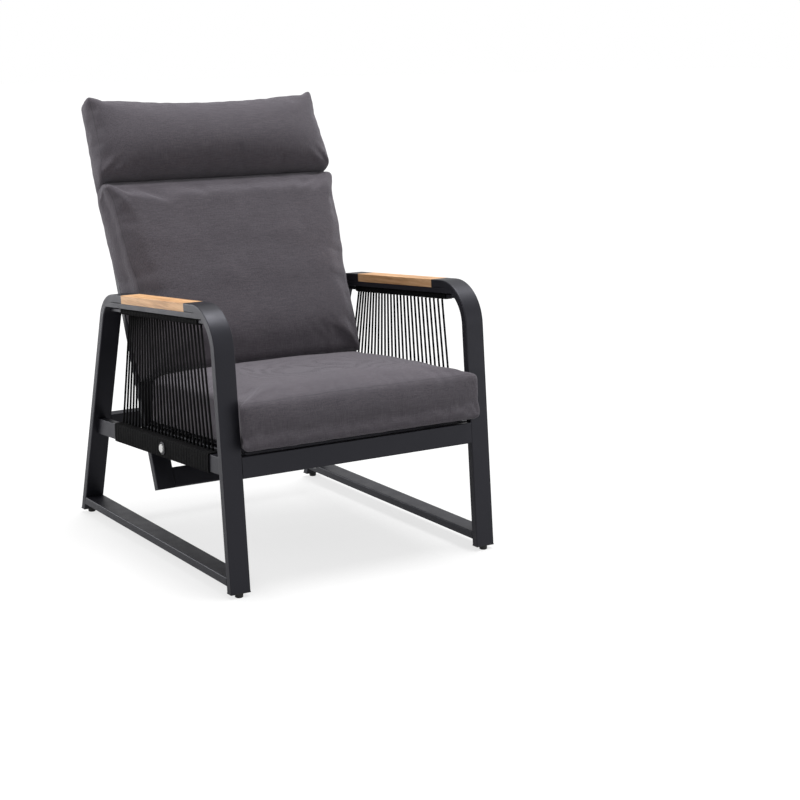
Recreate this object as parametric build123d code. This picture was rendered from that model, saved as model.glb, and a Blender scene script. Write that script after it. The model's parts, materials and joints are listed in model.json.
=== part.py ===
"""Reclining garden armchair, built piece by piece at its real size.

Lengths are in millimetres and angles in degrees. X runs across the chair and the sitter's left
is +X, Y runs to the rear, Z runs up from the floor. A line of the side view is written as a
point and a direction in Y and Z, and bars, blocks and cuts follow such lines.
"""
import os
from math import cos, hypot, pi, radians, sin

from build123d import *

# Flat aluminium tube that legs, arms, rails and the back frame are cut from
overall_width = 720.0
bar_width = 50.0
bar_depth = 20.0
bar_wall = 2.0
bar_corner = 2.5
least_corner_share = 0.25

# Side frame, measured on its outer outline
foot_reach = 430.0
front_lean = 5.6
rear_lean = 17.76
arm_height = 624.0
arm_fall = 4.67
front_bend_radius = 105.0
rear_bend_radius = 88.0
runner_height = 26.0
leg_end_height = 12.0
foot_plug_depth = 2.0
glide_radius = 9.5
glide_chamfer = 1.5

# Arm: a wooden pad let into the bend, on a flat carrier strap
pad_front_inset = 131.9
pad_rear_inset = 108.8
pad_corner = 1.0
strap_depth = 12.0
strap_corner = 1.0
pad_screw_radius = 2.5
pad_screw_bite = 12.0
pad_screw_head_radius = 5.0
pad_screw_head_depth = 2.5
pad_screw_margin = 50.0

# Rope and the rails that it is wound on
rope_diameter = 4.5
rope_rail_width = 20.0
upper_rail_depth = 8.0
rope_rail_corner = 1.0
strand_count = 27
strand_set_in = 7.5
strand_front_top_inset = 111.4
strand_rear_top_inset = 85.7
strand_crowding = 0.25
strand_front_foot_inset = 85.2
strand_rear_foot_inset = 119.1
upper_wrap_overrun = 10.0
lower_wrap_overrun = 12.0
lower_wrap_rear_overrun = 4.0

# Seat level at mid depth of the chair: side rails, slats and cushion all follow it
seat_height = 268.7
seat_fall = 3.48
side_rail_depth = 40.0
front_rail_height = 290.0
rear_rail_height = 254.0
bearer_width = 20.0
bearer_depth = 30.0
bearer_rise = 10.0
slat_width = 55.0
slat_depth = 10.0
slat_wall = 1.5
slat_count = 6
slat_front_gap = 14.0
slat_rear_gap = 6.0
slat_end_gap = 2.0
bearer_pivot_gap = 30.0
block_length = 30.0
block_margin = 8.0
block_depth = 24.0
crossbar_reach = 215.0
crossbar_depth = 25.0
screw_radius = 3.0
screw_head_radius = 6.0
screw_head_depth = 3.5

# Back frame and its pivot in the side rails
back_lean = 21.5
back_side_gap = 10.0
back_rise = 765.0
back_drop = 143.0
pivot_reach = 135.8
pivot_height = 260.8
back_slat_count = 5
back_slat_width = 45.0
back_slat_depth = 8.0
back_slat_first = 190.0
back_slat_last = 660.0
pivot_pin_radius = 5.0
pivot_boss_radius = 13.0
pivot_head_radius = 9.0
pivot_head_depth = 6.0
pivot_fit = 0.05
pivot_side_play = 0.3
bush_wall = 1.5
bush_flange_radius = 14.0
bush_flange_depth = 3.0

# Lockable gas spring between the seat frame and the foot of the back
spring_front_offset = 15.0
spring_front_drop = 27.0
spring_lever_drop = 100.0
spring_lever_offset = 30.0
cylinder_radius = 11.0
cylinder_wall = 1.5
cylinder_length = 160.0
cylinder_neck = 22.0
seal_length = 6.0
rod_radius = 4.0
rod_fit = 0.05
rod_exposed = 64.0
piston_length = 12.0
piston_clearance = 0.1
piston_margin = 4.0
eye_radius = 12.0
eye_width = 12.0
eye_pin_radius = 4.0
eye_fit = 0.05
open_eye_clearance = 4.2
neck_radius = 5.0
fork_wall = 4.0
fork_side_gap = 1.0
fork_foot = 40.0
fork_plate = 4.0
pin_head_radius = 6.5
pin_head_depth = 3.0
release_head_radius = 9.0
release_head_start = 18.0
release_stud_radius = 3.0
release_stud_length = 12.0

# Push button that frees the gas spring, in the side rail by the sitter's right hand
button_reach = 69.0
button_radius = 10.0
button_travel = 3.0
button_pressed_proud = 0.5
button_fit = 0.1
button_edge = 1.0
button_flange_width = 1.5
button_flange_depth = 2.0
housing_wall = 1.5
housing_inset = 10.0
housing_floor = 2.5
bezel_width = 2.5
bezel_depth = 2.0
bezel_edge = 0.8
coil_wire = 1.0
coil_radius = 6.5
coil_turns = 5

# Cushions: boxed sides, crowned faces, edges drawn in between the corners
cushion_gap = 0.4
seat_cushion_side_gap = 6.0
seat_cushion_overhang = 23.2
seat_cushion_pivot_gap = 49.8
seat_cushion_side = 109.0
seat_cushion_crown = 18.0
seat_cushion_corner = 12.0
back_foot_side_gap = 8.0
back_seam_spread = 7.0
back_head_spread = 5.0
back_foot_side = 68.0
back_seam_side = 84.0
back_head_side = 64.0
back_lower_waist = 20.0
back_head_waist = 5.0
back_cushion_crown = 40.0
back_cushion_corner = 24.0
back_cushion_foot = 122.0
back_cushion_overtop = 84.0
back_seam_rise = 628.0
back_seam_half = 4.0
back_web_depth = 30.0
back_web_length = 16.0
back_seam_round = 30.0
cushion_draw = 2.0
cushion_bulge = 2.0
crown_power = 0.6
flare_power = 3.0
waist_shares = (1 / 3, 2 / 3)
corner_limit_share = 0.4
end_angles = (12, 35, 62, 90)

# Lengths that only tools need: how far cuts run past, and the size of a half space
overrun = 5.0
far = 3 * overall_width


def side_line(y, z, angle):
    """Line of the side view through one point, at an angle above +Y."""
    return (y, z, cos(radians(angle)), sin(radians(angle)))


def shifted(line, distance):
    """The same line moved to its own left, as seen with Y to the right and Z up."""
    y, z, run, rise = line
    return (y - rise * distance, z + run * distance, run, rise)


def meet(first, second):
    """Point of the side view where two lines cross."""
    y1, z1, run1, rise1 = first
    y2, z2, run2, rise2 = second
    distance = ((y2 - y1) * rise2 - (z2 - z1) * run2) / (run1 * rise2 - rise1 * run2)
    return (y1 + run1 * distance, z1 + rise1 * distance)


def at_reach(line, y):
    """Point of a line at a given Y."""
    return meet(line, side_line(y, 0, 90))


def at_height(line, z):
    """Point of a line at a given Z."""
    return meet(line, side_line(0, z, 0))


def along(line, distance):
    """Point of a line at a distance from its own anchor point."""
    return (line[0] + line[2] * distance, line[1] + line[3] * distance)


def through(line, point):
    """The same direction, through another point."""
    return (point[0], point[1], line[2], line[3])


def square_to(line, point):
    """Line through a point, turned a quarter to the left of another line."""
    return (point[0], point[1], -line[3], line[2])


def spot(x, point):
    """Point in space from its X and its point of the side view."""
    return Vector(x, point[0], point[1])


def left_of(line):
    """Everything on the left of a line, as a large solid."""
    side = Plane(origin=(0, line[0], line[1]), x_dir=(1, 0, 0), z_dir=(0, -line[3], line[2]))
    return extrude(side * Rectangle(far, far), amount=far)


def right_of(line):
    """Everything on the right of a line, as a large solid."""
    return left_of((line[0], line[1], -line[2], -line[3]))


def prism(points, x_low, x_high):
    """Solid whose side view is a polygon."""
    outline = Polyline(*[(x_low, y, z) for y, z in points], close=True)
    return extrude(make_face(outline), amount=x_high - x_low, dir=(1, 0, 0))


def section(width, depth, wall, corner):
    """Rounded rectangle of a bar, hollow if it has a wall."""
    if not wall:
        return RectangleRounded(width, depth, corner)
    inner_corner = max(corner - wall, corner * least_corner_share)
    return RectangleRounded(width, depth, corner) - RectangleRounded(
        width - 2 * wall, depth - 2 * wall, inner_corner
    )


def lengthwise_bar(x, start, end, width, depth, wall, corner):
    """Bar in the side view from point to point, square at both ends."""
    low = spot(x, start)
    high = spot(x, end)
    run = high - low
    place = Plane(origin=low, x_dir=(1, 0, 0), z_dir=run)
    return extrude(place * section(width, depth, wall, corner), amount=run.length)


def crosswise_bar(centre, direction, height, depth, x_low, x_high, wall, corner):
    """Bar across the chair; its height lies along a line of the side view."""
    place = Plane(origin=spot(x_low, centre), x_dir=(0, direction[2], direction[3]), z_dir=(1, 0, 0))
    return extrude(place * section(height, depth, wall, corner), amount=x_high - x_low)


def round_across(point, radius, x_low, x_high):
    """Round bar along X through a point of the side view."""
    place = Plane(origin=spot(x_low, point), z_dir=(1, 0, 0))
    return extrude(place * Circle(radius), amount=x_high - x_low)


def round_along(start, end, radius):
    """Round bar in the middle plane from one point of the side view to another."""
    run = spot(0, end) - spot(0, start)
    return extrude(Plane(origin=spot(0, start), z_dir=run) * Circle(radius), amount=run.length)


def mirrored(shape):
    """The same piece on the other side of the chair."""
    return mirror(shape, about=Plane.YZ)


pieces = {}


def add(name, shape):
    """Keep a piece under the name of its node."""
    pieces[name] = shape


def add_group(name, shapes):
    """Keep separate solids that share one node."""
    add(name, Compound([solid for shape in shapes for solid in shape.solids()]))


def add_both(name, left):
    """Keep small pieces of the two sides in one node."""
    add_group(name, [left, mirrored(left)])


def largest(shape):
    """The main solid of what a cut leaves."""
    return max(shape.solids(), key=lambda solid: solid.volume)


def add_pair(name, left):
    """Keep a piece on the sitter's left and its mirror image on the right."""
    add(name + "_left", left)
    add(name + "_right", mirrored(left))


# Lines of the side view that the frame hangs on
half_width = overall_width / 2
bar_x = half_width - bar_width / 2
inner_x = half_width - bar_width
front_face = side_line(-foot_reach, 0, 90 - front_lean)
front_centre = shifted(front_face, -bar_depth / 2)
front_back = shifted(front_face, -bar_depth)
rear_face = side_line(foot_reach, 0, 90 + rear_lean)
rear_centre = shifted(rear_face, bar_depth / 2)
rear_front = shifted(rear_face, bar_depth)
arm_top = side_line(0, arm_height, -arm_fall)
arm_centre = shifted(arm_top, -bar_depth / 2)
arm_under = shifted(arm_top, -bar_depth)
strap_under = shifted(arm_under, -strap_depth)
wrap_under = shifted(strap_under, -(upper_rail_depth + 2 * rope_diameter))
upper_rail_centre = shifted(strap_under, -(rope_diameter + upper_rail_depth / 2))
seat_line = side_line(0, seat_height, -seat_fall)
rail_top = shifted(seat_line, side_rail_depth / 2)
wrap_top = shifted(rail_top, rope_diameter)
leg_end = side_line(0, leg_end_height, 0)
runner_centre = side_line(0, runner_height + bar_depth / 2, 0)

arm_front = meet(front_centre, arm_centre)[0]
arm_rear = meet(rear_centre, arm_centre)[0]
pad_front = at_reach(arm_centre, arm_front + pad_front_inset)
pad_rear = at_reach(arm_centre, arm_rear - pad_rear_inset)


def bent_bar(leg, foot, pad_end, bend_radius, wall):
    """Leg that bends over into the arm, from below its foot to the end of the wooden pad."""
    path = FilletPolyline(
        spot(bar_x, foot), spot(bar_x, meet(leg, arm_centre)), spot(bar_x, pad_end),
        radius=bend_radius - bar_depth / 2,
    )
    start = Plane(origin=path @ 0, x_dir=(1, 0, 0), z_dir=path % 0)
    bent = sweep(start * section(bar_width, bar_depth, wall, bar_corner), path=path)
    return bent - right_of(leg_end)


front_foot = at_height(front_centre, -bar_depth)
rear_foot = at_height(rear_centre, -bar_depth)
front_solid = bent_bar(front_centre, front_foot, pad_front, front_bend_radius, 0)
rear_solid = bent_bar(rear_centre, rear_foot, pad_rear, rear_bend_radius, 0)
add_pair("front_leg", bent_bar(front_centre, front_foot, pad_front, front_bend_radius, bar_wall))
add_pair("rear_leg", bent_bar(rear_centre, rear_foot, pad_rear, rear_bend_radius, bar_wall))


def between_legs(bar):
    """Cut a lengthwise bar off where it meets the faces of the two legs."""
    return bar - left_of(front_back) - right_of(rear_front)


runner = lengthwise_bar(
    bar_x, at_reach(runner_centre, -foot_reach), at_reach(runner_centre, foot_reach),
    bar_width, bar_depth, bar_wall, bar_corner,
)
add_pair("runner", between_legs(runner))

# Plugs that close the legs, and the glides that the chair stands on
plug_top = leg_end_height
plug_bottom = leg_end_height - foot_plug_depth
plugs = []
glides = []
for face, back, centre in ((front_face, front_back, front_centre), (rear_front, rear_face, rear_centre)):
    outline = [at_height(face, plug_bottom), at_height(back, plug_bottom),
               at_height(back, plug_top), at_height(face, plug_top)]
    plug = prism(outline, inner_x, half_width)
    foot = at_height(centre, plug_bottom)
    disc = Pos(bar_x, foot[0], 0) * Cylinder(
        glide_radius, plug_bottom, align=(Align.CENTER, Align.CENTER, Align.MIN)
    )
    disc = chamfer(disc.edges().group_by(Axis.Z)[0], glide_chamfer)
    plugs += [plug, mirrored(plug)]
    glides += [disc, mirrored(disc)]
add_group("foot_plugs", plugs)
add_group("glides", glides)

# Wooden pads, their carrier straps and the screws that hold them
pad = lengthwise_bar(bar_x, pad_front, pad_rear, bar_width, bar_depth, 0, pad_corner)
strap_centre = shifted(arm_under, -strap_depth / 2)
strap = lengthwise_bar(
    bar_x, at_reach(strap_centre, -foot_reach), at_reach(strap_centre, foot_reach),
    bar_width, strap_depth, 0, strap_corner,
)
strap = largest(strap - left_of(front_centre) - right_of(rear_centre) - front_solid - rear_solid)
screws = []
for screw_reach in (pad_front[0] + pad_screw_margin, pad_rear[0] - pad_screw_margin):
    up = square_to(arm_centre, at_reach(arm_centre, screw_reach))
    tip = along(up, -bar_depth / 2 + pad_screw_bite)
    seat = along(up, -bar_depth / 2 - strap_depth)
    place = Plane(origin=spot(bar_x, seat), z_dir=(0, up[2], up[3]))
    length = (spot(bar_x, tip) - spot(bar_x, seat)).length
    shank = extrude(place * Circle(pad_screw_radius), amount=length)
    head = extrude(place * Circle(pad_screw_head_radius), amount=pad_screw_head_depth)
    screws.append(shank + head)
for screw in screws:
    pad = pad - screw
    strap = strap - screw
add_pair("arm_pad", pad)
add_pair("arm_strap", strap)
add_group("pad_screws", screws + [mirrored(screw) for screw in screws])

# Upper rope rail below the strap, with its turns of rope
rope_x = inner_x + bar_width / 2
upper_rail = lengthwise_bar(
    rope_x, at_reach(upper_rail_centre, -foot_reach), at_reach(upper_rail_centre, foot_reach),
    rope_rail_width, upper_rail_depth, 0, rope_rail_corner,
)
upper_rail = largest(upper_rail - left_of(front_centre) - right_of(rear_centre) - front_solid - rear_solid)
add_both("upper_rope_rails", upper_rail)


def wrap(line, front, rear, depth):
    """Sleeve of close turns of rope around a rail, between two points of its centre line."""
    outer = lengthwise_bar(
        rope_x, front, rear, rope_rail_width + 2 * rope_diameter, depth + 2 * rope_diameter,
        0, rope_diameter,
    )
    hollow = lengthwise_bar(
        rope_x, along(through(line, front), -overrun), along(through(line, rear), overrun),
        rope_rail_width, depth, 0, rope_rail_corner,
    )
    return outer - hollow


first_top = arm_front + strand_front_top_inset
last_top = arm_rear - strand_rear_top_inset
first_foot = meet(front_back, seat_line)[0] + strand_front_foot_inset
last_foot = meet(rear_front, seat_line)[0] - strand_rear_foot_inset
add_pair("upper_rope_wrap", wrap(
    upper_rail_centre,
    at_reach(upper_rail_centre, first_top - upper_wrap_overrun),
    at_reach(upper_rail_centre, last_top + upper_wrap_overrun),
    upper_rail_depth,
))

# Side rail and its turns of rope
side_rail = lengthwise_bar(
    rope_x, at_reach(seat_line, -foot_reach), at_reach(seat_line, foot_reach),
    rope_rail_width, side_rail_depth, bar_wall, rope_rail_corner,
)
side_rail = between_legs(side_rail)
lower_wrap = wrap(
    seat_line,
    at_reach(seat_line, first_foot - lower_wrap_overrun),
    at_reach(seat_line, last_foot + lower_wrap_rear_overrun),
    side_rail_depth,
)

# Strands between the two wound rails, set in towards the seat, fanned from one leg's lean to the other's
strand_x = rope_x - strand_set_in
strands = []
for number in range(strand_count):
    share = number / (strand_count - 1)
    top_share = share + strand_crowding * share * (1 - share)
    top_y = first_top + top_share * (last_top - first_top)
    foot_y = first_foot + share * (last_foot - first_foot)
    top = spot(strand_x, at_reach(upper_rail_centre, top_y))
    foot = spot(strand_x, at_reach(seat_line, foot_y))
    run = top - foot
    strand = extrude(Plane(origin=foot, z_dir=run) * Circle(rope_diameter / 2), amount=run.length)
    strands.append(strand - left_of(wrap_under) - right_of(wrap_top))
add_group("rope_strands_left", strands)
add_group("rope_strands_right", [mirrored(strand) for strand in strands])

# Rails across the chair, flush with the legs
front_rail_centre = at_height(front_centre, front_rail_height)
rear_rail_centre = at_height(rear_centre, rear_rail_height)
add("front_rail", crosswise_bar(
    front_rail_centre, front_centre, bar_width, bar_depth, -inner_x, inner_x, bar_wall, bar_corner
))
add("rear_rail", crosswise_bar(
    rear_rail_centre, rear_centre, bar_width, bar_depth, -inner_x, inner_x, bar_wall, bar_corner
))

# Seat bearers, crossbar and slats
bearer_x = inner_x - bearer_width / 2
bearer_line = shifted(seat_line, bearer_rise)
bearer_top = shifted(bearer_line, bearer_depth / 2)
bearer_under = shifted(bearer_line, -bearer_depth / 2)
bearer_end = at_reach(bearer_line, pivot_reach - bearer_pivot_gap)
bearer = lengthwise_bar(
    bearer_x, at_reach(bearer_line, -foot_reach), bearer_end,
    bearer_width, bearer_depth, bar_wall, bar_corner,
)
bearer = bearer - left_of(front_back)
crossbar_centre = at_reach(shifted(bearer_under, -crossbar_depth / 2), -crossbar_reach)
add("seat_crossbar", crosswise_bar(
    crossbar_centre, seat_line, crossbar_depth, crossbar_depth, -inner_x, inner_x, bar_wall, bar_corner
))
slat_line = shifted(bearer_top, slat_depth / 2)
slat_half = inner_x - slat_end_gap
first_slat = meet(slat_line, front_back)[0] + slat_front_gap + slat_width / 2
last_slat = bearer_end[0] - slat_rear_gap - slat_width / 2
for number in range(slat_count):
    slat_reach = first_slat + (last_slat - first_slat) * number / (slat_count - 1)
    add("seat_slat_" + str(number + 1), crosswise_bar(
        at_reach(slat_line, slat_reach), seat_line, slat_width, slat_depth,
        -slat_half, slat_half, slat_wall, slat_wall,
    ))

# Blocks that tie the rear of the bearers to the side rails, and their screws
rail_inner_x = rope_x - rope_rail_width / 2
block_centre = at_reach(seat_line, bearer_end[0] - block_margin - block_length / 2)
block = crosswise_bar(
    block_centre, seat_line, block_length, block_depth, inner_x, rail_inner_x, 0, bar_corner
)
block_screw = round_across(block_centre, screw_radius, bearer_x - bearer_width / 2, rail_inner_x)
block_screw += round_across(
    block_centre, screw_head_radius,
    bearer_x - bearer_width / 2 - screw_head_depth, bearer_x - bearer_width / 2,
)
add_pair("seat_bearer", bearer - block_screw)
add_both("bearer_blocks", block - block_screw)
add_both("block_screws", block_screw)

# Back frame: two side bars, a bar at the head, one at the foot, and slats between them
back_line = side_line(pivot_reach, pivot_height, 90 - back_lean)
pivot = along(back_line, 0)
back_front = shifted(back_line, bar_depth / 2)
back_half = inner_x - back_side_gap
back_inner = back_half - bar_width
back_bar = lengthwise_bar(
    back_half - bar_width / 2, along(back_line, -back_drop), along(back_line, back_rise),
    bar_width, bar_depth, bar_wall, bar_corner,
)
back_head = along(back_line, back_rise - bar_width / 2)
back_foot = along(back_line, bar_width / 2 - back_drop)
for name, centre in (("back_head_bar", back_head), ("back_foot_bar", back_foot)):
    add(name, crosswise_bar(
        centre, back_line, bar_width, bar_depth, -back_inner, back_inner, bar_wall, bar_corner
    ))
back_slat_line = shifted(back_front, -back_slat_depth / 2)
for number in range(back_slat_count):
    rise = back_slat_first + (back_slat_last - back_slat_first) * number / (back_slat_count - 1)
    add("back_slat_" + str(number + 1), crosswise_bar(
        along(back_slat_line, rise), back_line, back_slat_width, back_slat_depth,
        -back_inner, back_inner, slat_wall, slat_wall,
    ))

# Pivots of the back: boss on the side rail, bolt into it, flanged bush in the back bar
bush_bore = pivot_pin_radius + pivot_fit
bush_radius = bush_bore + bush_wall
boss_face = back_half + bush_flange_depth + pivot_side_play
head_face = back_inner - pivot_side_play
bush = round_across(pivot, bush_radius, back_inner, back_half)
bush += round_across(pivot, bush_flange_radius, back_half, back_half + bush_flange_depth)
bush -= round_across(pivot, bush_bore, back_inner - overrun, back_half + overrun)
boss = round_across(pivot, pivot_boss_radius, boss_face, rail_inner_x)
bolt = round_across(pivot, pivot_pin_radius, head_face, rail_inner_x)
bolt += round_across(pivot, pivot_head_radius, head_face - pivot_head_depth, head_face)
bush_hole = round_across(pivot, bush_radius, back_inner - overrun, back_half + overrun)
add_pair("back_side_bar", back_bar - bush_hole)
add_both("pivot_bushes", bush)
add_both("pivot_bosses", boss - bolt)
add_both("pivot_bolts", bolt)

# Lockable gas spring: its rod hangs from the seat crossbar, its cylinder pushes on the back's foot
crossbar_under = shifted(through(seat_line, crossbar_centre), -crossbar_depth / 2)
front_eye = along(shifted(crossbar_under, -spring_front_drop), spring_front_offset)
rear_eye = along(shifted(back_line, spring_lever_offset), -spring_lever_drop)
spring_length = hypot(rear_eye[0] - front_eye[0], rear_eye[1] - front_eye[1])
spring_line = (
    front_eye[0], front_eye[1],
    (rear_eye[0] - front_eye[0]) / spring_length, (rear_eye[1] - front_eye[1]) / spring_length,
)
cylinder_rear = spring_length - cylinder_neck
cylinder_front = cylinder_rear - cylinder_length
head_end = cylinder_front - rod_exposed
piston_start = cylinder_front + seal_length + piston_margin
bore_radius = cylinder_radius - cylinder_wall
ear_inner = eye_width / 2 + fork_side_gap
ear_outer = ear_inner + fork_wall


def spring_stretch(start, end, radius):
    """Round stretch of the gas spring between two distances from its front eye."""
    return round_along(along(spring_line, start), along(spring_line, end), radius)


def fork(face, middle, eye):
    """Fork on a face: a foot plate about a middle point and two ears to an eye on its right."""
    foot = through(face, middle)
    half_foot = fork_foot / 2
    under = shifted(foot, -fork_plate)
    tip = through(face, eye)
    start, end = along(foot, -half_foot), along(foot, half_foot)
    plate = prism([start, end, along(under, half_foot), along(under, -half_foot)], -ear_outer, ear_outer)
    ear = prism([start, end, along(tip, eye_radius), along(tip, -eye_radius)], ear_inner, ear_outer)
    ear += round_across(eye, eye_radius, ear_inner, ear_outer)
    return plate + ear + mirrored(ear) - round_across(eye, eye_pin_radius, -half_width, half_width)


def fork_pin(eye):
    """Pin through a fork, with a head at each end."""
    pin = round_across(eye, eye_pin_radius, -ear_outer - pin_head_depth, ear_outer + pin_head_depth)
    pin += round_across(eye, pin_head_radius, ear_outer, ear_outer + pin_head_depth)
    pin += round_across(eye, pin_head_radius, -ear_outer - pin_head_depth, -ear_outer)
    return pin


back_foot_middle = along(back_front, bar_width / 2 - back_drop)
back_foot_face = (back_foot_middle[0], back_foot_middle[1], -back_line[2], -back_line[3])
add("spring_front_fork", fork(crossbar_under, along(crossbar_under, spring_front_offset / 2), front_eye))
add("spring_rear_fork", fork(back_foot_face, back_foot_middle, rear_eye))
add("spring_front_pin", fork_pin(front_eye))
add("spring_rear_pin", fork_pin(rear_eye))

release_head = round_across(front_eye, eye_radius, -eye_width / 2, eye_width / 2)
release_head += spring_stretch(release_head_start, head_end, release_head_radius)
release_head += spring_stretch(0, head_end, neck_radius)
stud_line = square_to(spring_line, along(spring_line, (release_head_start + head_end) / 2))
release_head += round_along(
    along(stud_line, 0), along(stud_line, -release_head_radius - release_stud_length), release_stud_radius
)
release_head -= round_across(front_eye, eye_pin_radius + eye_fit, -half_width, half_width)
add("spring_release_head", release_head)
rod = spring_stretch(head_end, piston_start + piston_length, rod_radius)
rod += spring_stretch(piston_start, piston_start + piston_length, bore_radius - piston_clearance)
add("spring_rod", rod)
cylinder = spring_stretch(cylinder_front, cylinder_rear, cylinder_radius)
seal_end = cylinder_front + seal_length
cylinder -= spring_stretch(seal_end, cylinder_rear - seal_length, bore_radius)
cylinder -= spring_stretch(cylinder_front - overrun, seal_end + overrun, rod_radius + rod_fit)
cylinder += spring_stretch(cylinder_rear, spring_length, neck_radius)
cylinder += round_across(rear_eye, eye_radius, -eye_width / 2, eye_width / 2)
cylinder -= round_across(rear_eye, eye_pin_radius + open_eye_clearance, -half_width, half_width)
add("spring_cylinder", cylinder)

# Release button, its housing through the side rail, bezel and return spring
button_spot = at_reach(seat_line, -button_reach)
wrap_face = rope_x + rope_rail_width / 2 + rope_diameter
flange_radius = button_radius + button_flange_width
housing_bore = flange_radius + button_fit
housing_radius = housing_bore + housing_wall
housing_start = rail_inner_x - housing_inset
coil_start = housing_start + housing_floor
flange_face = wrap_face - button_fit
flange_rear = flange_face - button_flange_depth
button_face = wrap_face + bezel_depth + button_pressed_proud + button_travel
housing = round_across(button_spot, housing_radius, housing_start, wrap_face)
housing_room = housing
housing -= round_across(button_spot, housing_bore, coil_start, wrap_face + overrun)
bezel = round_across(button_spot, housing_radius + bezel_width, wrap_face, wrap_face + bezel_depth)
bezel = fillet(bezel.edges().group_by(Axis.X)[-1], bezel_edge)
bezel -= round_across(button_spot, button_radius + button_fit, wrap_face - overrun, wrap_face + far)
button = round_across(button_spot, button_radius, flange_rear, button_face)
button = fillet(button.edges().group_by(Axis.X)[-1], button_edge)
button += round_across(button_spot, flange_radius, flange_rear, flange_face)
coil_length = flange_rear - coil_start - coil_wire
coil_path = Helix(
    pitch=coil_length / coil_turns, height=coil_length, radius=coil_radius,
    center=spot(coil_start + coil_wire / 2, button_spot), direction=(1, 0, 0),
)
coil = sweep(Plane(origin=coil_path @ 0, z_dir=coil_path % 0) * Circle(coil_wire / 2), path=coil_path)
add("button_housing", mirrored(housing))
add("button_bezel", mirrored(bezel))
add("release_button", mirrored(button))
add("button_coil", mirrored(coil))

# The side rails and their wraps make room for the blocks, bosses and the button
lower_wrap = lower_wrap - block - boss - bolt
add("side_rail_left", side_rail)
add("side_rail_right", mirrored(side_rail - housing_room))
add("lower_rope_wrap_left", lower_wrap)
add("lower_rope_wrap_right", mirrored(lower_wrap - housing_room))

# Cushions are lofted through outlines that stand square on a line behind or below them


def cushion_slice(place, width, floor, side, crown, corner):
    """Outline across a cushion: flat behind, bulged sides, rounded corners, crowned in front."""
    half = width / 2
    corner = min(corner, (side - floor) * corner_limit_share)
    near = corner * (1 - sin(radians(45)))
    middle = (floor + side) / 2
    right = [
        ThreePointArc((half - corner, floor), (half - near, floor + near), (half, floor + corner)),
        ThreePointArc((half, floor + corner), (half + cushion_bulge, middle), (half, side - corner)),
        ThreePointArc((half, side - corner), (half - near, side - near), (half - corner, side)),
    ]
    left = [mirror(edge, about=Plane.YZ) for edge in right]
    bottom = Line((corner - half, floor), (half - corner, floor))
    top = ThreePointArc((half - corner, side), (0, side + crown), (corner - half, side))
    return place * make_face([bottom, *right, top, *left])


def chamber(line, start, end, widths, sides, waist, crown, corner, start_round, end_round):
    """Stuffed chamber along a line: rounded ends, crowned face, thinner and drawn in between the ends."""
    start_width, end_width = widths
    start_side, end_side = sides
    length = end - start
    slices = []
    for angle in end_angles:
        turn = radians(angle)
        slices.append((start_round * (1 - cos(turn)), start_round * (1 - sin(turn))))
    for share in waist_shares:
        slices.append((length * share, 0))
    for angle in reversed(end_angles):
        turn = radians(angle)
        slices.append((length - end_round * (1 - cos(turn)), end_round * (1 - sin(turn))))
    faces = []
    for distance, inset in slices:
        fullness = sin(pi * distance / length)
        side = start_side + (end_side - start_side) * distance / length - waist * fullness
        width = start_width + (end_width - start_width) * (distance / length) ** flare_power
        centre = along(line, start + distance)
        place = Plane(origin=spot(0, centre), x_dir=(-1, 0, 0), z_dir=(0, line[2], line[3]))
        faces.append(cushion_slice(
            place, width - 2 * inset - 2 * cushion_draw * fullness, inset, side - inset,
            crown * fullness ** crown_power, corner,
        ))
    return loft(faces) - right_of(line)


seat_floor = shifted(slat_line, slat_depth / 2 + cushion_gap)
seat_floor = through(seat_floor, meet(seat_floor, front_face))
seat_floor = through(seat_floor, along(seat_floor, -seat_cushion_overhang))
seat_cushion_width = 2 * (inner_x - seat_cushion_side_gap)
seat_cushion_length = (pivot[0] - seat_cushion_pivot_gap - seat_floor[0]) / seat_floor[2]
add("seat_cushion", chamber(
    seat_floor, 0, seat_cushion_length,
    (seat_cushion_width, seat_cushion_width), (seat_cushion_side, seat_cushion_side), 0,
    seat_cushion_crown, seat_cushion_corner, seat_cushion_corner, seat_cushion_corner,
))
back_floor = shifted(back_front, cushion_gap)
back_foot_width = 2 * (inner_x - back_foot_side_gap)
back_seam_width = 2 * (inner_x + back_seam_spread)
back_head_width = 2 * (inner_x + back_head_spread)
back_cushion_top = back_rise + back_cushion_overtop
lower_chamber = chamber(
    back_floor, back_cushion_foot, back_seam_rise - back_seam_half,
    (back_foot_width, back_seam_width), (back_foot_side, back_seam_side), back_lower_waist,
    back_cushion_crown, back_cushion_corner, back_cushion_corner, back_seam_round,
)
head_chamber = chamber(
    back_floor, back_seam_rise + back_seam_half, back_cushion_top,
    (back_seam_width, back_head_width), (back_seam_side, back_head_side), back_head_waist,
    back_cushion_crown, back_cushion_corner, back_seam_round, back_cushion_corner,
)
web_half = back_seam_width / 2 - back_seam_round
web_centre = along(shifted(back_floor, back_seam_round + back_web_depth / 2), back_seam_rise)
web = crosswise_bar(
    web_centre, back_line, back_web_length, back_web_depth, -web_half, web_half, 0, back_seam_half
)
add("back_cushion", lower_chamber + web + head_chamber)

# Stand the chair on its origin: the middle of its outline, on the floor
boxes = [shape.bounding_box() for shape in pieces.values()]
centre_shift = -(min(box.min.Y for box in boxes) + max(box.max.Y for box in boxes)) / 2
os.makedirs("parts", exist_ok=True)
for name, shape in pieces.items():
    export_step(Pos(0, centre_shift, 0) * shape, "parts/" + name + ".step")

print("pieces", len(pieces))
print("shift along Y", round(centre_shift, 3))
print("pivot", pivot[0] + centre_shift, pivot[1])
print("spring eyes", front_eye[0] + centre_shift, front_eye[1], rear_eye[0] + centre_shift, rear_eye[1])
print("button", button_spot[0] + centre_shift, button_spot[1])
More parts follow.
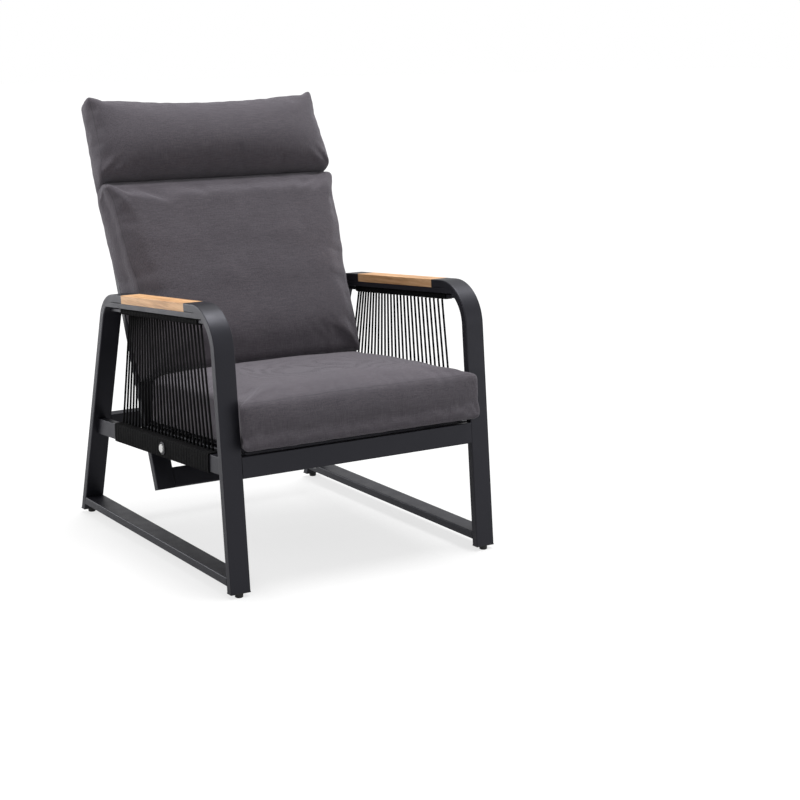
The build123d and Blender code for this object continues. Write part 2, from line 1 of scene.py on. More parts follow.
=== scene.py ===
"""Looks of the reclining garden armchair: finishes, rope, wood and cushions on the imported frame.

Lengths are in metres. X runs across the chair with the sitter's left at +X, the chair faces -Y,
and Z runs up from the floor. Places on the back are given by their rise along the back frame from
its pivot and by how far they stand out in front of it.
"""
import json
from math import atan2, cos, exp, hypot, pi, radians, sin, tan

import bmesh
import bpy
from mathutils import Matrix, Vector, noise
from mathutils.kdtree import KDTree


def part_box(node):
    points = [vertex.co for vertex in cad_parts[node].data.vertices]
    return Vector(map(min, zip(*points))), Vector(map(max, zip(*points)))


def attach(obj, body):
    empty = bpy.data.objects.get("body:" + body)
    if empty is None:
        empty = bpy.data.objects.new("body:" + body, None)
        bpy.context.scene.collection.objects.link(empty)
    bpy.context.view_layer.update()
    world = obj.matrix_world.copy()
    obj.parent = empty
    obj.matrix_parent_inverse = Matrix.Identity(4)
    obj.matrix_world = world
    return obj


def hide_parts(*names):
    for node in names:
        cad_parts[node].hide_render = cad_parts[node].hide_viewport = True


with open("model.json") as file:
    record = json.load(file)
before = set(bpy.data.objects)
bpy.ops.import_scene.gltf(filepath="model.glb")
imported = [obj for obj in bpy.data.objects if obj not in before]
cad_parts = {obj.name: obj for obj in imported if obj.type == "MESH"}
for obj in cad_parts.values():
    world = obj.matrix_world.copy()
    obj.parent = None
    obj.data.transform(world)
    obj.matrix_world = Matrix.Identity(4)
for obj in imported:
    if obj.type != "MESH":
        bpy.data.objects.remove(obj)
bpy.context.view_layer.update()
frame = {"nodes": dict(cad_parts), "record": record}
nodes = frame["nodes"]
joints = {joint["name"]: joint for joint in frame["record"]["behaviour"]["joints"]}
sides = ("left", "right")

# Directions of the back and of the seat, as the frame has them
pivot = Vector(joints["back_recline"]["pos_m"])
back_lean = radians(21.5)
back_up = Vector((0, sin(back_lean), cos(back_lean)))
back_out = Vector((0, -cos(back_lean), sin(back_lean)))
seat_fall = radians(3.48)
seat_floor_reach = 0.1358
seat_floor_height = 0.304165
seat_floor = Vector((0, pivot.y - seat_floor_reach, seat_floor_height))
seat_back = Vector((0, cos(seat_fall), -sin(seat_fall)))
seat_up = Vector((0, sin(seat_fall), cos(seat_fall)))

# Rope and the rails that it is wound on
rope_radius = 0.00225
strand_radius = 0.0026
strand_sides = 12
turn_bevel = 1
turn_corner = 0.0033
turn_corner_steps = 3
side_rail_depth = 0.040
side_rail_drop = 0.035465
upper_rail_depth = 0.008
upper_turns_reach = 0.013
arm_fall = radians(4.67)

# Back cushion: a long chamber and a head chamber with a deep sewn channel between them
back_floor = 0.0104
back_foot_rise = 0.124
back_top_rise = 0.849
back_rear_top = 0.843
back_channel_rise = 0.628
back_channel_out = 0.052
back_channel_side_out = 0.008
back_channel_pinch = 0.010
back_lower_lip = 0.017
back_head_lip = 0.030
back_lip_flare = 0.008
back_lip_flare_reach = 0.05
back_seam_out = (
    (0.124, 0.114), (0.220, 0.117), (0.330, 0.112), (0.440, 0.106), (0.560, 0.101),
    (0.622, 0.094), (0.640, 0.092), (0.700, 0.086), (0.780, 0.079), (0.849, 0.078),
)
back_half_width = (
    (0.124, 0.3065), (0.365, 0.3080), (0.415, 0.3165), (0.500, 0.3225), (0.600, 0.324), (0.849, 0.321),
)
back_rear_draw = 0.006
back_side_bulge = 0.004
back_end_bulge = 0.006
back_edge_round = 0.014
back_top_sag = 0.022
back_sag_start = 0.72
back_rear_sag_share = 0.6
back_ear = 0.007
back_ear_across = 0.86
back_ear_rise = 0.80
back_ear_side_share = 0.4
back_held_fullness = 0.4
back_steps_across = 78
back_steps_deep = 11
back_rows_lower = 58
back_rows_lip = 7
back_rows_head = 24
back_block_halves = (0.315, 0.363, 0.045)

# Swell of each chamber: its start and end along the back, its height, how soon it rises, how square it is
back_lower_swell = (back_foot_rise, 0.700, 0.022, 0.60, 4.0)
back_head_swell = (back_channel_rise, back_top_rise, 0.046, 0.75, 3.6)

# Folds that fan out from the ends of the channel into the head chamber
fold_depth = 0.004
fold_count = 11
fold_drift = 3
fold_gap = 0.004
fold_middle = 0.035
fold_spread = 0.028

# Seat cushion: one boxed chamber
seat_slat_gap = 0.0005
seat_front = -0.4315
seat_rear = 0.096
seat_rear_fall = 0.006
seat_half_width = 0.3085
seat_floor_draw = 0.004
seat_side_height = 0.112
seat_crown = 0.020
seat_edge_round = 0.013
seat_front_bulge = 0.010
seat_front_flare = 0.020
seat_flare_reach = 0.028
seat_steps = (76, 64, 14)
seat_block_halves = (0.308, 0.256, 0.058)

# Gathers along the seams, unevenness of the filling, and the cloth of the covers
gather_fade = 0.018
uneven_depth = 0.0013
uneven_fade = 0.012
uneven_scale = 13
uneven_fine_scale = 31
stuffing_limit = 0.010
stuffing_frames = 20
cover_cloth = {
    "quality": 6, "mass": 0.25, "tension_stiffness": 20, "compression_stiffness": 20, "shear_stiffness": 8,
    "bending_stiffness": 0.8, "use_pressure": True, "uniform_pressure_force": 4.0, "shrink_min": -0.004,
}

# A part of a block's vertex past this lies on a side of the block, which runs from -1 to 1
block_side = 0.99

# Camera, floor and light
camera_lens = 78.463
camera_sensor = 36.0
camera_yaw = radians(-32.6551)
camera_elevation = radians(12.3361)
camera_roll = radians(-0.0998)
camera_place = Vector((-2.0402, pivot.y - 3.8853, 1.2661))
floor_half = 30
floor_glow = 0.72
room_light = 0.42
room_white = 1.0
glossy_share = 0.34
sun_power = 2.9
sun_spread = radians(35)
sun_way = Vector((0.20, 0.02, 0.95))
softboxes = (
    ("rear_left_softbox", (-2.6, 3.2, 1.3), (0, 0, 0.5), 2.6, 72),
    ("left_softbox", (-3.4, 0.9, 1.9), (0, 0, 0.5), 1.6, 13),
    ("front_right_softbox", (3.0, -2.8, 0.9), (0.2, 0, 0.6), 1.5, 8),
)


def between(table, place):
    """Value at a place from a table of places and values, eased from one entry to the next."""
    if place <= table[0][0]:
        return table[0][1]
    for (low, low_value), (high, high_value) in zip(table, table[1:]):
        if place <= high:
            share = (place - low) / (high - low)
            share = share * share * (3 - 2 * share)
            return low_value + (high_value - low_value) * share
    return table[-1][1]


def on_back(x, rise, out):
    """Point of the back from its place across, along and in front of the frame."""
    return pivot + Vector((x, 0, 0)) + back_up * rise + back_out * out


def on_seat(x, back, up):
    """Point of the seat from its place across, to the rear and above the slats."""
    return seat_floor + Vector((x, 0, 0)) + seat_back * back + seat_up * up


# Materials

def new_material(name, roughness):
    """A material with its nodes and its shader."""
    material = bpy.data.materials.new(name)
    material.use_nodes = True
    tree = material.node_tree
    shader = tree.nodes["Principled BSDF"]
    shader.inputs["Roughness"].default_value = roughness
    return material, tree, shader


def object_place(tree, scale=(1, 1, 1), turn=(0, 0, 0)):
    """Object coordinates, turned and stretched for a pattern."""
    coordinates = tree.nodes.new("ShaderNodeTexCoord")
    mapping = tree.nodes.new("ShaderNodeMapping")
    mapping.inputs["Scale"].default_value = scale
    mapping.inputs["Rotation"].default_value = turn
    tree.links.new(coordinates.outputs["Object"], mapping.inputs["Vector"])
    return mapping.outputs["Vector"]


def cloud(tree, place, scale, detail=2.0, roughness=0.5):
    """Value of a noise pattern."""
    node = tree.nodes.new("ShaderNodeTexNoise")
    node.inputs["Scale"].default_value = scale
    node.inputs["Detail"].default_value = detail
    node.inputs["Roughness"].default_value = roughness
    tree.links.new(place, node.inputs["Vector"])
    return node.outputs["Fac"]


def wave(tree, place, direction, scale, distortion=0.0):
    """Value of a band pattern across a direction."""
    node = tree.nodes.new("ShaderNodeTexWave")
    node.bands_direction = direction
    node.inputs["Scale"].default_value = scale
    node.inputs["Distortion"].default_value = distortion
    tree.links.new(place, node.inputs["Vector"])
    return node.outputs["Fac"]


def joined(tree, operation, first, second):
    """Two values joined by a sum, a product or another operation."""
    node = tree.nodes.new("ShaderNodeMath")
    node.operation = operation
    for socket, value in zip(node.inputs, (first, second)):
        if isinstance(value, (int, float)):
            socket.default_value = value
        else:
            tree.links.new(value, socket)
    return node.outputs[0]


def ramp(tree, source, stops):
    """Colour ramp over a pattern's value."""
    node = tree.nodes.new("ShaderNodeValToRGB")
    elements = node.color_ramp.elements
    while len(elements) < len(stops):
        elements.new(0.5)
    for element, (position, colour) in zip(elements, stops):
        element.position = position
        element.color = (*colour, 1)
    tree.links.new(source, node.inputs["Fac"])
    return node.outputs["Color"]


def level(tree, source, low, high, low_value, high_value):
    """A pattern's value brought from one range to another."""
    node = tree.nodes.new("ShaderNodeMapRange")
    values = {"From Min": low, "From Max": high, "To Min": low_value, "To Max": high_value}
    for socket, value in values.items():
        node.inputs[socket].default_value = value
    tree.links.new(source, node.inputs["Value"])
    return node.outputs["Result"]


def stain(tree, first, second, share):
    """Colour mixed with another colour by a pattern."""
    node = tree.nodes.new("ShaderNodeMix")
    node.data_type = "RGBA"
    colours = [socket for socket in node.inputs if socket.type == "RGBA"]
    for socket, value in zip(colours, (first, second)):
        if isinstance(value, tuple):
            socket.default_value = (*value, 1)
        else:
            tree.links.new(value, socket)
    tree.links.new(share, node.inputs["Factor"])
    return node.outputs["Result"]


def relief(tree, shader, height, distance, below=None):
    """Relief of a surface from a pattern's height, over a coarser relief if there is one."""
    node = tree.nodes.new("ShaderNodeBump")
    node.inputs["Distance"].default_value = distance
    tree.links.new(height, node.inputs["Height"])
    if below:
        tree.links.new(below, node.inputs["Normal"])
    tree.links.new(node.outputs["Normal"], shader.inputs["Normal"])
    return node.outputs["Normal"]


def powder_coat():
    """Charcoal powder coat: fine grain over soft clouds of tone and gloss."""
    material, tree, shader = new_material("charcoal_powder_coat", 0.42)
    shader.inputs["Specular Tint"].default_value = (0.88, 0.88, 1.0, 1)
    place = object_place(tree)
    tone = ramp(tree, cloud(tree, place, 5.0, 3.0), [
        (0.3, (0.0080, 0.0080, 0.0110)), (0.7, (0.0108, 0.0108, 0.0142)),
    ])
    tree.links.new(tone, shader.inputs["Base Color"])
    gloss = level(tree, cloud(tree, place, 24.0, 3.0), 0.3, 0.7, 0.37, 0.47)
    tree.links.new(gloss, shader.inputs["Roughness"])
    coarse = relief(tree, shader, cloud(tree, place, 260.0), 0.00006)
    relief(tree, shader, cloud(tree, place, 1500.0, 1.0), 0.00008, coarse)
    return material


def teak():
    """Oiled teak: long grain along the arm, darker growth lines and fine pores."""
    material, tree, shader = new_material("oiled_teak", 0.48)
    stretched = object_place(tree, scale=(1.0, 0.055, 1.0))
    fine = object_place(tree, scale=(1.0, 0.03, 1.0))
    slanted = object_place(tree, scale=(1.0, 0.10, 1.0), turn=(0.02, 0.0, 0.03))
    bands = wave(tree, slanted, "DIAGONAL", 42.0, 6.0)
    growth = cloud(tree, stretched, 95.0, 5.0, 0.6)
    grain = joined(tree, "MULTIPLY", growth, level(tree, bands, 0.0, 1.0, 0.82, 1.0))
    tone = ramp(tree, grain, [
        (0.25, (0.460, 0.220, 0.090)), (0.45, (0.740, 0.420, 0.200)),
        (0.60, (0.880, 0.545, 0.290)), (0.80, (0.930, 0.640, 0.375)),
    ])
    pores = cloud(tree, fine, 620.0, 2.0)
    pore_share = level(tree, pores, 0.60, 0.74, 0.0, 0.55)
    tree.links.new(stain(tree, tone, (0.210, 0.085, 0.028), pore_share), shader.inputs["Base Color"])
    tree.links.new(level(tree, growth, 0.3, 0.7, 0.42, 0.56), shader.inputs["Roughness"])
    coarse = relief(tree, shader, growth, 0.0002)
    relief(tree, shader, pores, -0.00015, coarse)
    return material


def cushion_fabric(name, turn):
    """Woven outdoor fabric: yarns two ways, heathered tone, soft sheen, painted shade darkening the crease
    along the seams.
    """
    material, tree, shader = new_material(name, 0.86)
    place = object_place(tree, turn=turn)
    warp, weft, depth = (wave(tree, place, direction, 290.0, 0.6) for direction in ("X", "Z", "Y"))
    crossing = joined(tree, "MAXIMUM", warp, weft)
    weave = joined(tree, "MULTIPLY", crossing, level(tree, depth, 0.0, 1.0, 0.8, 1.0))
    warp_yarn = cloud(tree, object_place(tree, scale=(1.0, 1.0, 0.05), turn=turn), 700.0, 1.0)
    weft_yarn = cloud(tree, object_place(tree, scale=(0.05, 1.0, 1.0), turn=turn), 700.0, 1.0)
    heather = joined(tree, "MULTIPLY", joined(tree, "ADD", warp_yarn, weft_yarn), 0.5)
    tone = ramp(tree, heather, [
        (0.36, (0.0860, 0.0760, 0.0890)), (0.50, (0.1120, 0.0990, 0.1150)), (0.64, (0.1380, 0.1230, 0.1400)),
    ])
    mottle = level(tree, cloud(tree, place, 9.0, 3.0), 0.3, 0.7, 0.0, 0.30)
    toned = stain(tree, tone, (0.0900, 0.0830, 0.0980), mottle)
    # Painted shade: the fabric colour is darkened close to the seams, standing in for the shade in the crease
    # there
    seam = tree.nodes.new("ShaderNodeAttribute")
    seam.attribute_name = "seam_distance"
    painted_seam_shade = level(tree, seam.outputs["Fac"], 0.0004, 0.0016, 0.30, 0.0)
    tree.links.new(stain(tree, toned, (0.020, 0.018, 0.020), painted_seam_shade), shader.inputs["Base Color"])
    shader.inputs["Sheen Weight"].default_value = 0.35
    shader.inputs["Sheen Roughness"].default_value = 0.5
    shader.inputs["Sheen Tint"].default_value = (0.80, 0.78, 0.84, 1)
    shader.inputs["Specular IOR Level"].default_value = 0.25
    coarse = relief(tree, shader, cloud(tree, place, 130.0, 3.0), 0.0006)
    relief(tree, shader, weave, 0.00035, coarse)
    return material


def rope_weave():
    """Black outdoor rope: braided sheath with slanted plaits."""
    material, tree, shader = new_material("black_braided_rope", 0.72)
    place = object_place(tree, turn=(0.6, 0.35, 0.6))
    plait = joined(tree, "MULTIPLY", wave(tree, place, "X", 210.0, 1.0), wave(tree, place, "Z", 210.0, 1.0))
    tone = ramp(tree, plait, [(0.1, (0.0030, 0.0030, 0.0036)), (0.8, (0.0090, 0.0090, 0.0104))])
    tree.links.new(tone, shader.inputs["Base Color"])
    shader.inputs["Specular IOR Level"].default_value = 0.15
    relief(tree, shader, plait, 0.0005)
    return material


def moulded_plastic(name, colour, roughness):
    """Moulded plastic with a fine spark-eroded grain."""
    material, tree, shader = new_material(name, roughness)
    place = object_place(tree)
    darker = tuple(0.85 * channel for channel in colour)
    tone = ramp(tree, cloud(tree, place, 40.0, 3.0), [(0.3, darker), (0.7, colour)])
    tree.links.new(tone, shader.inputs["Base Color"])
    relief(tree, shader, cloud(tree, place, 1800.0, 1.0), 0.00004)
    return material


def bare_metal(name, colour, roughness, stretch):
    """Drawn or turned metal with fine lines."""
    material, tree, shader = new_material(name, roughness)
    shader.inputs["Metallic"].default_value = 1.0
    lines = cloud(tree, object_place(tree, scale=stretch), 900.0, 2.0)
    darker = tuple(0.8 * channel for channel in colour)
    tree.links.new(ramp(tree, lines, [(0.3, darker), (0.7, colour)]), shader.inputs["Base Color"])
    tree.links.new(level(tree, lines, 0.3, 0.7, roughness * 0.8, roughness * 1.2), shader.inputs["Roughness"])
    relief(tree, shader, lines, 0.00002)
    return material


rope = rope_weave()
back_fabric = cushion_fabric("back_cushion_fabric", (-back_lean, 0, 0))
seat_fabric = cushion_fabric("seat_cushion_fabric", (seat_fall, 0, 0))
finishes = {
    "charcoal_paint": powder_coat(),
    "teak": teak(),
    "rope": rope,
    "black_plastic": moulded_plastic("black_plastic", (0.016, 0.016, 0.017), 0.55),
    "white_plastic": moulded_plastic("white_plastic", (0.92, 0.92, 0.91), 0.35),
    "steel": bare_metal("stainless_steel", (0.55, 0.55, 0.56), 0.32, (0.05, 1, 1)),
    "chrome_rod": bare_metal("ground_chrome", (0.80, 0.80, 0.82), 0.12, (1, 0.05, 1)),
    "bezel_metal": bare_metal("black_anodised_aluminium", (0.05, 0.05, 0.055), 0.22, (1, 1, 1)),
    "black_steel": moulded_plastic("black_lacquered_steel", (0.018, 0.018, 0.020), 0.30),
    "cushion_fabric": seat_fabric,
}
for part in frame["record"]["subparts"]:
    node_mesh = nodes[part["node"]].data
    node_mesh.materials.clear()
    node_mesh.materials.append(finishes[part["material_slot"]])


def new_piece(name, mesh, material, body, slot, *replaced):
    """Object from a mesh, smooth, with its material, riding on a body for the nodes it replaces."""
    mesh.shade_smooth()
    mesh.materials.append(material)
    piece = bpy.data.objects.new(name, mesh)
    bpy.context.collection.objects.link(piece)
    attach(piece, body)
    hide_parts(*replaced)
    return piece


def mesh_of(name, form):
    """Mesh from a finished form, which is freed."""
    mesh = bpy.data.meshes.new(name)
    form.to_mesh(mesh)
    form.free()
    return mesh


# Rope: braided strands between the rails, and close turns around them

def strand_lines(node):
    """Ends of each strand of a node, from its separate tubes."""
    form = bmesh.new()
    form.from_mesh(nodes[node].data)
    bmesh.ops.remove_doubles(form, verts=form.verts, dist=0.00001)
    unseen = set(form.verts)
    lines = []
    while unseen:
        group = [unseen.pop()]
        for vertex in group:
            for edge in vertex.link_edges:
                other = edge.other_vert(vertex)
                if other in unseen:
                    unseen.discard(other)
                    group.append(other)
        middle = (min(v.co.z for v in group) + max(v.co.z for v in group)) / 2
        top = [v.co for v in group if v.co.z > middle]
        foot = [v.co for v in group if v.co.z < middle]
        lines.append((sum(foot, Vector()) / len(foot), sum(top, Vector()) / len(top)))
    form.free()
    return lines


def braided_strands(side):
    """Round strands of one side, in the places of the frame's strands."""
    form = bmesh.new()
    for foot, top in strand_lines("rope_strands_" + side):
        turn = (top - foot).to_track_quat("Z", "Y").to_matrix().to_4x4()
        bmesh.ops.create_cone(
            form, cap_ends=True, segments=strand_sides, radius1=strand_radius, radius2=strand_radius,
            depth=(top - foot).length, matrix=Matrix.Translation((foot + top) / 2) @ turn,
        )
    name = "braided_strands_" + side
    new_piece(name, mesh_of(name, form), rope, "base", "rope", "rope_strands_" + side)


def tube(points, radius, bevel):
    """Mesh of a round tube along points."""
    data = bpy.data.curves.new("rope_line", "CURVE")
    data.dimensions = "3D"
    data.bevel_depth = radius
    data.bevel_resolution = bevel
    data.use_fill_caps = True
    spline = data.splines.new("POLY")
    spline.points.add(len(points) - 1)
    for point, place in zip(spline.points, points):
        point.co = (*place, 1)
    line = bpy.data.objects.new("rope_line", data)
    mesh = bpy.data.meshes.new_from_object(line)
    bpy.data.objects.remove(line)
    bpy.data.curves.remove(data)
    return mesh


def turn_outline(across, deep):
    """Points of one turn around a flat rail, for half its width and half its depth."""
    outline = []
    for quarter, (sign_x, sign_z) in enumerate(((1, 1), (-1, 1), (-1, -1), (1, -1))):
        for step in range(turn_corner_steps):
            angle = radians(90 * quarter + 45 * step)
            outline.append((
                sign_x * (across - turn_corner) + turn_corner * cos(angle),
                sign_z * (deep - turn_corner) + turn_corner * sin(angle),
            ))
    return outline


def rail_turns(name, node, line_height, rail_depth, reach=0.0):
    """One rope wound close around a rail, from end to end of the sleeve that stands for it."""
    low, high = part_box(node)
    x = (low[0] + high[0]) / 2
    outline = turn_outline((high[0] - low[0]) / 2 - rope_radius, rail_depth / 2 + rope_radius)
    start, end = low[1] + rope_radius - reach, high[1] - rope_radius
    turns = round((end - start) / (2 * rope_radius))
    count = turns * len(outline)
    points = []
    for number in range(count):
        y = start + (end - start) * number / (count - 1)
        out, up = outline[number % len(outline)]
        points.append((x + out, y, line_height(y) + up))
    new_piece(name, tube(points, rope_radius, turn_bevel), rope, "base", "rope", node)


upper_low, upper_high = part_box("upper_rope_wrap_left")
upper_middle = (Vector(upper_low) + Vector(upper_high)) / 2


def side_rail_height(y):
    """Height of the side rail's centre line."""
    return seat_floor.z - side_rail_drop - (y - seat_floor.y) * tan(seat_fall)


def upper_rail_height(y):
    """Height of the upper rope rail's centre line."""
    return upper_middle.z - (y - upper_middle.y) * tan(arm_fall)


for side in sides:
    braided_strands(side)
for side in sides:
    rail_turns("side_rail_turns_" + side, "lower_rope_wrap_" + side, side_rail_height, side_rail_depth)
    rail_turns(
        "upper_rail_turns_" + side, "upper_rope_wrap_" + side, upper_rail_height, upper_rail_depth,
        upper_turns_reach,
    )


# Cushions

def cushion_block(across, along, deep):
    """Cube from -1 to 1 with every side cut into a grid."""
    form = bmesh.new()
    bmesh.ops.create_cube(form, size=2)
    for axis, steps in enumerate((across, along, deep)):
        edges = [
            edge for edge in form.edges
            if abs((edge.verts[0].co - edge.verts[1].co)[axis]) > 2 * block_side
        ]
        bmesh.ops.subdivide_edges(form, edges=edges, cuts=steps - 1)
    return form


def rounded(place, half_sizes, radius):
    """Point of a block moved in to rounded edges, for half sizes in metres."""
    point = Vector([part * half for part, half in zip(place, half_sizes)])
    core = Vector([max(min(part, half - radius), radius - half) for part, half in zip(point, half_sizes)])
    reached = core + (point - core).normalized() * radius
    return Vector([part / half for part, half in zip(reached, half_sizes)])


def seam_vertices(form):
    """Vertices where two sides of the block meet."""
    return [vertex for vertex in form.verts if sum(abs(part) > block_side for part in vertex.co) >= 2]


def back_rows(lower_steps, lip_steps, head_steps):
    """Rows of the back cushion's face: their rise, and 1 on the face down to 0 in the channel."""
    lower_end = back_channel_rise - back_lower_lip
    head_start = back_channel_rise + back_head_lip
    angles = [pi / 2 * step / lip_steps for step in range(lip_steps + 1)]
    rows = [
        (back_foot_rise + (lower_end - back_foot_rise) * step / lower_steps, 1.0)
        for step in range(lower_steps)
    ]
    rows += [(lower_end + back_lower_lip * sin(angle), cos(angle)) for angle in angles]
    rows += [(head_start - back_head_lip * sin(angle), cos(angle)) for angle in reversed(angles[:-1])]
    rows += [
        (head_start + (back_top_rise - head_start) * step / head_steps, 1.0)
        for step in range(1, head_steps + 1)
    ]
    return rows


def chamber_crown(across, rise):
    """How far the filling swells a chamber of the back cushion past its seams."""
    chamber = back_lower_swell if rise <= back_channel_rise else back_head_swell
    start, end, height, fall_off, squareness = chamber
    swell = max(sin(pi * (rise - start) / (end - start)), 0) ** fall_off
    return height * swell * max(1 - abs(across) ** squareness, 0) ** 0.5


def channel_folds(across, rise):
    """Height of the folds that fan out from the ends of the channel into the head chamber."""
    if rise <= back_channel_rise:
        return 0
    from_side = (1 - abs(across)) * back_block_halves[0]
    from_channel = rise - back_channel_rise
    turn = atan2(from_channel, from_side + fold_gap)
    fade = exp(-((hypot(from_side, from_channel) - fold_middle) / fold_spread) ** 2)
    return fold_depth * sin(fold_count * turn + fold_drift * across) * fade


def back_front_out(across, rise, depth, fullness):
    """How far the back cushion's front stands out from the back frame."""
    channel_out = back_channel_out + back_channel_side_out * abs(across) ** 6
    crown = chamber_crown(across, rise) + channel_folds(across, rise) * depth
    return channel_out + (between(back_seam_out, rise) + crown - channel_out) * fullness


def back_half(rise, rise_here, depth, fullness):
    """Half width of the back cushion: wider above the arms, pinched in the channel, flared at its lips."""
    half = between(back_half_width, rise_here) - back_rear_draw * (1 - depth)
    half += back_side_bulge * sin(pi * depth) * fullness - back_channel_pinch * (1 - fullness) * depth
    flare_fade = exp(-((rise - back_channel_rise) / back_lip_flare_reach) ** 2)
    return half + back_lip_flare * flare_fade * fullness * depth


def back_form():
    """Back cushion's cover before it is stuffed, its seam vertices, and what the cloth holds."""
    rows = back_rows(back_rows_lower, back_rows_lip, back_rows_head)
    row_count = len(rows) - 1
    form = cushion_block(back_steps_across, row_count, back_steps_deep)
    seams = seam_vertices(form)
    held_places = []
    for index, vertex in enumerate(form.verts):
        row = round((vertex.co.y + 1) / 2 * row_count)
        rise, fullness = rows[row]
        if fullness < back_held_fullness or vertex.co.z < -block_side:
            held_places.append(index)
        at_end = abs(vertex.co.y) > block_side
        across, along, deep = rounded(vertex.co, back_block_halves, back_edge_round)
        rise += (along - vertex.co.y) * back_block_halves[1]
        share = row / row_count + (along - vertex.co.y) / 2
        depth = (deep + 1) / 2
        sag_share = max((rise - back_sag_start) / (back_top_rise - back_sag_start), 0) ** 1.5
        sag = back_top_sag * (1 - across * across) * sag_share
        rear_rise = back_foot_rise + (back_rear_top - back_foot_rise) * share - back_rear_sag_share * sag
        rise_here = rear_rise * (1 - depth) + (rise - sag) * depth
        out_here = back_floor + (back_front_out(across, rise, depth, fullness) - back_floor) * depth
        half_here = back_half(rise, rise_here, depth, fullness)
        if at_end:
            rise_here += along * back_end_bulge * sin(pi * depth) * (1 - abs(across) ** 4)
        ear = max(abs(across) - back_ear_across, 0) / (1 - back_ear_across)
        ear *= max(rise - back_ear_rise, 0) / (back_top_rise - back_ear_rise) * depth
        rise_here += back_ear * ear * ear
        half_here += back_ear_side_share * back_ear * ear * ear
        vertex.co = on_back(across * half_here, rise_here, out_here)
    return form, seams, held_places


def seat_form():
    """Seat cushion's cover before it is stuffed, its seam vertices, and what the cloth holds."""
    form = cushion_block(*seat_steps)
    seams = seam_vertices(form)
    held_places = [index for index, vertex in enumerate(form.verts) if vertex.co.z < -block_side]
    for vertex in form.verts:
        at_end = abs(vertex.co.y) > block_side
        across, along, deep = rounded(vertex.co, seat_block_halves, seat_edge_round)
        depth = (deep + 1) / 2
        share = (along + 1) / 2
        full = (1 - abs(across) ** 3.0) ** 0.8 * (1 - abs(along) ** 3.4) ** 0.8
        up = (seat_side_height + seat_crown * full - seat_rear_fall * share * share) * depth
        back = seat_front + (seat_rear - seat_front) * share
        flare = seat_front_flare * max(1 - (back - seat_front) / seat_flare_reach, 0)
        out = across * (seat_half_width + flare - seat_floor_draw * (1 - depth) ** 2)
        if at_end:
            back += along * seat_front_bulge * sin(pi * depth) ** 0.8 * (1 - abs(across) ** 6)
        vertex.co = on_seat(out, back, seat_slat_gap + up)
    return form, seams, held_places


def pucker(form, seams, depth, fade, scale, seed):
    """Small gathers that run off the seams, and soft unevenness of the filling."""
    tree = KDTree(len(seams))
    for number, vertex in enumerate(seams):
        tree.insert(vertex.co, number)
    tree.balance()
    form.normal_update()
    distance_layer = form.verts.layers.float.new("seam_distance")
    moves = []
    for vertex in form.verts:
        seam_place, _, distance = tree.find(vertex.co)
        vertex[distance_layer] = distance
        gather = noise.noise(seam_place * scale + Vector((seed, 0, 0)))
        gather += 0.6 * noise.noise(seam_place * scale * 2.3 + Vector((0, seed, 0)))
        uneven = noise.noise(vertex.co * uneven_scale + Vector((0, 0, seed)))
        uneven += 0.5 * noise.noise(vertex.co * uneven_fine_scale + Vector((seed, seed, 0)))
        gathered = depth * gather * exp(-distance / fade)
        moves.append(vertex.normal * (gathered + uneven_depth * uneven * (1 - exp(-distance / uneven_fade))))
    for vertex, move in zip(form.verts, moves):
        vertex.co += move


def stuff(piece, held_places):
    """Blow the sewn cover up with its filling, as cloth, and keep the result within a limit."""
    held = piece.vertex_groups.new(name="held")
    held.add(held_places, 1.0, "REPLACE")
    cloth = piece.modifiers.new("cloth", "CLOTH")
    for setting, value in cover_cloth.items():
        setattr(cloth.settings, setting, value)
    cloth.settings.vertex_group_mass = "held"
    cloth.settings.effector_weights.gravity = 0
    scene = bpy.context.scene
    scene.frame_start = 1
    scene.frame_end = stuffing_frames
    for number in range(1, stuffing_frames + 1):
        scene.frame_set(number)
    blown = piece.evaluated_get(bpy.context.evaluated_depsgraph_get())
    moves = [after.co - before.co for before, after in zip(piece.data.vertices, blown.data.vertices)]
    piece.modifiers.remove(cloth)
    scene.frame_set(1)
    for vertex, move in zip(piece.data.vertices, moves):
        if move.length > stuffing_limit:
            move = move.normalized() * stuffing_limit
        vertex.co += move


def finish_cushion(name, form, held_places, material, body, node):
    """Cushion from its form: stuffed, subdivided, with its fabric, its body and the solid it stands for."""
    piece = new_piece(name, mesh_of(name, form), material, body, "cushion_fabric", node)
    stuff(piece, held_places)
    smoothing = piece.modifiers.new("smoothing", "SUBSURF")
    smoothing.levels = 1
    smoothing.render_levels = 1


form, seams, held_places = back_form()
pucker(form, seams, 0.0017, gather_fade, 42.0, 3.0)
finish_cushion("sewn_back_cushion", form, held_places, back_fabric, "back", "back_cushion")

form, seams, held_places = seat_form()
pucker(form, seams, 0.0016, gather_fade, 45.0, 7.0)
finish_cushion("sewn_seat_cushion", form, held_places, seat_fabric, "base", "seat_cushion")


# Camera, floor and light

def place_camera():
    """Camera at the photograph's viewing angle."""
    data = bpy.data.cameras.new("camera")
    data.lens = camera_lens
    data.sensor_width = camera_sensor
    camera = bpy.data.objects.new("camera", data)
    bpy.context.collection.objects.link(camera)
    back_way = Vector((
        sin(camera_yaw) * cos(camera_elevation),
        -cos(camera_yaw) * cos(camera_elevation),
        sin(camera_elevation),
    ))
    level_right = Vector((cos(camera_yaw), sin(camera_yaw), 0))
    level_up = back_way.cross(level_right)
    right_way = level_right * cos(camera_roll) + level_up * sin(camera_roll)
    up_way = level_up * cos(camera_roll) - level_right * sin(camera_roll)
    rows = [(right_way[axis], up_way[axis], back_way[axis], camera_place[axis]) for axis in range(3)]
    camera.matrix_world = Matrix((*rows, (0, 0, 0, 1)))
    bpy.context.scene.camera = camera


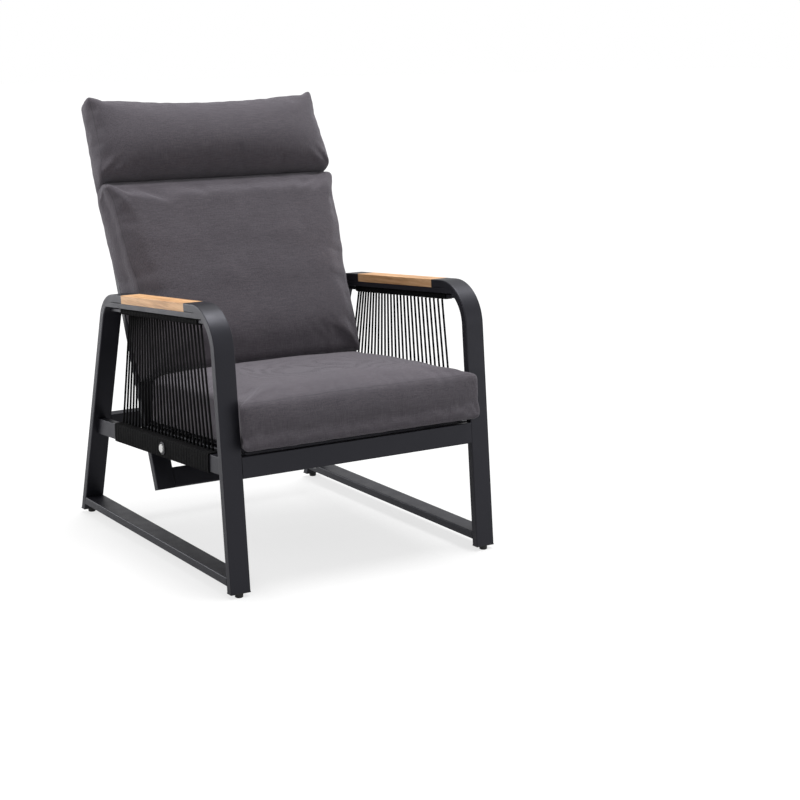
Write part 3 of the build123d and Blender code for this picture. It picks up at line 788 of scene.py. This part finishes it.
def seen(tree):
    """One where a surface is seen directly, a share where it is seen in a reflection."""
    rays = tree.nodes.new("ShaderNodeLightPath").outputs
    reflected = joined(tree, "MULTIPLY", rays["Is Glossy Ray"], glossy_share)
    return joined(tree, "MAXIMUM", rays["Is Camera Ray"], reflected)


def lay_floor():
    """Plain white floor that shows soft shadows only."""
    form = bmesh.new()
    bmesh.ops.create_grid(form, x_segments=1, y_segments=1, size=floor_half)
    floor = bpy.data.objects.new("floor", mesh_of("floor", form))
    bpy.context.collection.objects.link(floor)
    finish, tree, shader = new_material("white_floor", 0.7)
    shader.inputs["Base Color"].default_value = (0.28, 0.28, 0.28, 1)
    shader.inputs["Specular IOR Level"].default_value = 0
    shader.inputs["Emission Color"].default_value = (1, 1, 1, 1)
    tree.links.new(level(tree, seen(tree), 0.0, 1.0, 0.0, floor_glow), shader.inputs["Emission Strength"])
    floor.data.materials.append(finish)


def white_room():
    """White surroundings that light the chair less than they show."""
    world = bpy.data.worlds.new("studio")
    bpy.context.scene.world = world
    world.use_nodes = True
    tree = world.node_tree
    background = tree.nodes["Background"]
    background.inputs["Color"].default_value = (1, 1, 1, 1)
    tree.links.new(level(tree, seen(tree), 0.0, 1.0, room_light, room_white), background.inputs["Strength"])
    bpy.context.scene.view_settings.view_transform = "Standard"


def overhead_light():
    """Broad light from above, slightly from the sitter's left."""
    data = bpy.data.lights.new("overhead_light", "SUN")
    data.energy = sun_power
    data.angle = sun_spread
    sun = bpy.data.objects.new("overhead_light", data)
    bpy.context.collection.objects.link(sun)
    sun.rotation_euler = sun_way.to_track_quat("Z", "Y").to_euler()


def softbox(name, place, target, size, power):
    """Large soft square lamp that looks at a point."""
    data = bpy.data.lights.new(name, "AREA")
    data.shape = "SQUARE"
    data.size = size
    data.energy = power
    lamp = bpy.data.objects.new(name, data)
    bpy.context.collection.objects.link(lamp)
    lamp.location = place
    lamp.visible_camera = False
    lamp.rotation_euler = (Vector(target) - Vector(place)).to_track_quat("-Z", "Y").to_euler()


place_camera()
lay_floor()
white_room()
overhead_light()
for lamp in softboxes:
    softbox(*lamp)
